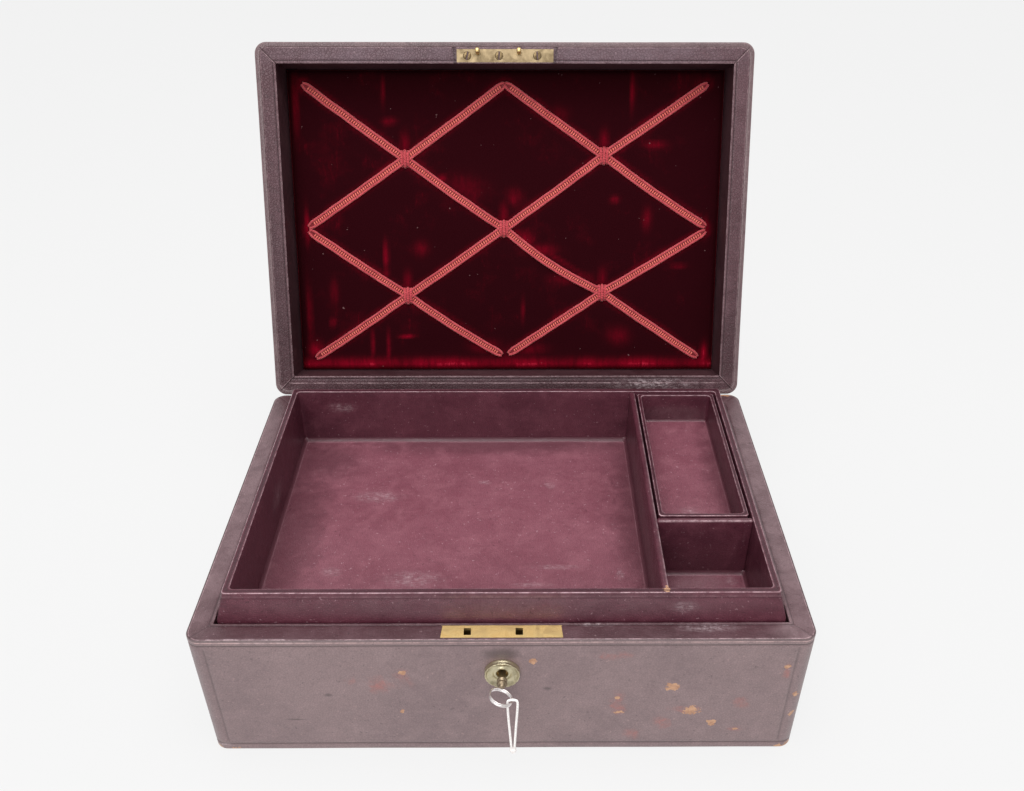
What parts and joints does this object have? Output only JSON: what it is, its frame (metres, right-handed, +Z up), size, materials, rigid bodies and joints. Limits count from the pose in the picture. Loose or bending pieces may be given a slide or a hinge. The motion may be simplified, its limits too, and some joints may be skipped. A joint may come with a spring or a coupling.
{
  "type": "leather_jewellery_case",
  "caption": "Antique leather-covered jewellery case with a velvet and braid lid, lift-out trays, brass box lock, key and string",
  "frame": {"origin": "centre of the base underside", "axes": "+X right, +Y back, +Z up"},
  "size_m": [0.3, 0.3498, 0.2791],
  "materials": {
    "leather_outer": "semi_gloss",
    "leather_rim": "semi_gloss",
    "leather_tray": "semi_gloss",
    "leather_floor": "semi_gloss",
    "lining_leather": "satin",
    "board_wood": "matte",
    "tray_card": "matte",
    "velvet": "matte",
    "braid": "matte",
    "lock_brass": "polished",
    "hinge_brass": "satin",
    "screw_steel": "satin",
    "key_steel": "polished",
    "string_cotton": "matte"
  },
  "bodies": {
    "base": {"base_leather": "leather_outer", "base_underside": "leather_outer", "base_front_board": "board_wood", "base_back_board": "board_wood", "base_left_board": "board_wood", "base_right_board": "board_wood", "base_bottom_board": "board_wood", "base_rim_leather": "leather_rim", "base_floor_lining": "lining_leather", "base_wall_lining": "lining_leather", "tray_rest_front": "board_wood", "tray_rest_back": "board_wood", "tray_rest_left": "board_wood", "tray_rest_right": "board_wood", "hinge_base_leaves": "hinge_brass", "hinge_pins": "screw_steel", "hinge_base_screws": "screw_steel", "lock_plate": "lock_brass", "lock_case": "lock_brass", "lock_back_cover": "lock_brass", "lock_screws": "screw_steel", "escutcheon": "lock_brass"},
    "lid": {"lid_leather": "leather_outer", "lid_front_board": "board_wood", "lid_back_board": "board_wood", "lid_left_board": "board_wood", "lid_right_board": "board_wood", "lid_top_board": "board_wood", "lid_rim_leather": "leather_rim", "lid_wall_lining": "lining_leather", "velvet_panel": "velvet", "braid_falling": "braid", "braid_rising": "braid", "braid_ties": "braid", "link_plate": "lock_brass", "link_staples": "lock_brass", "link_screws": "screw_steel", "hinge_lid_leaves": "hinge_brass", "hinge_lid_screws": "screw_steel"},
    "tray": {"tray_front_wall": "leather_tray", "tray_back_wall": "leather_tray", "tray_left_wall": "leather_tray", "tray_right_wall": "leather_tray", "tray_bottom": "tray_card", "long_partition": "leather_tray", "cross_partition": "leather_tray", "tray_floor_lining": "leather_floor", "small_tray_rests": "tray_card"},
    "small_tray": {"small_tray_bottom": "tray_card", "small_tray_ends": "leather_tray", "small_tray_sides": "leather_tray", "small_tray_lining": "leather_floor"},
    "lock_barrel": {"lock_barrel": "lock_brass"},
    "lock_bolt": {"lock_bolt": "lock_brass"},
    "key": {"key": "key_steel"},
    "string": {"string_left_strand": "string_cotton", "string_right_strand": "string_cotton", "string_knot": "string_cotton"}
  },
  "joints": [
    {"name": "lid_hinge", "type": "hinge", "parent": "base", "child": "lid", "pos_m": [0, 0.107, 0.08115], "axis": [-1, 0, 0], "range_deg": [-112, 0]},
    {"name": "tray_lift", "type": "slide", "parent": "base", "child": "tray", "axis": [0, 0, 1], "range_m": [0, 0.06]},
    {"name": "small_tray_lift", "type": "slide", "parent": "tray", "child": "small_tray", "axis": [0, 0, 1], "range_m": [0, 0.045]},
    {"name": "key_turn", "type": "hinge", "parent": "base", "child": "lock_barrel", "pos_m": [0, -0.107, 0.0595], "axis": [0, -1, 0], "range_deg": [-70, 0]},
    {"name": "key_withdraw", "type": "slide", "parent": "lock_barrel", "child": "key", "axis": [0, -1, 0], "range_m": [0, 0.016]},
    {"name": "bolt_throw", "type": "slide", "parent": "base", "child": "lock_bolt", "axis": [1, 0, 0], "range_m": [0, 0.00574]},
    {"name": "string_hang", "type": "hinge", "parent": "key", "child": "string", "pos_m": [0.00508, -0.12472, 0.05765], "axis": [0, -1, 0], "range_deg": [0, 70]}
  ],
  "couplings": [
    {"joint": "key_turn", "follows": "bolt_throw", "rad_per_m": -212.99},
    {"joint": "string_hang", "follows": "bolt_throw", "rad_per_m": 212.99}
  ]
}
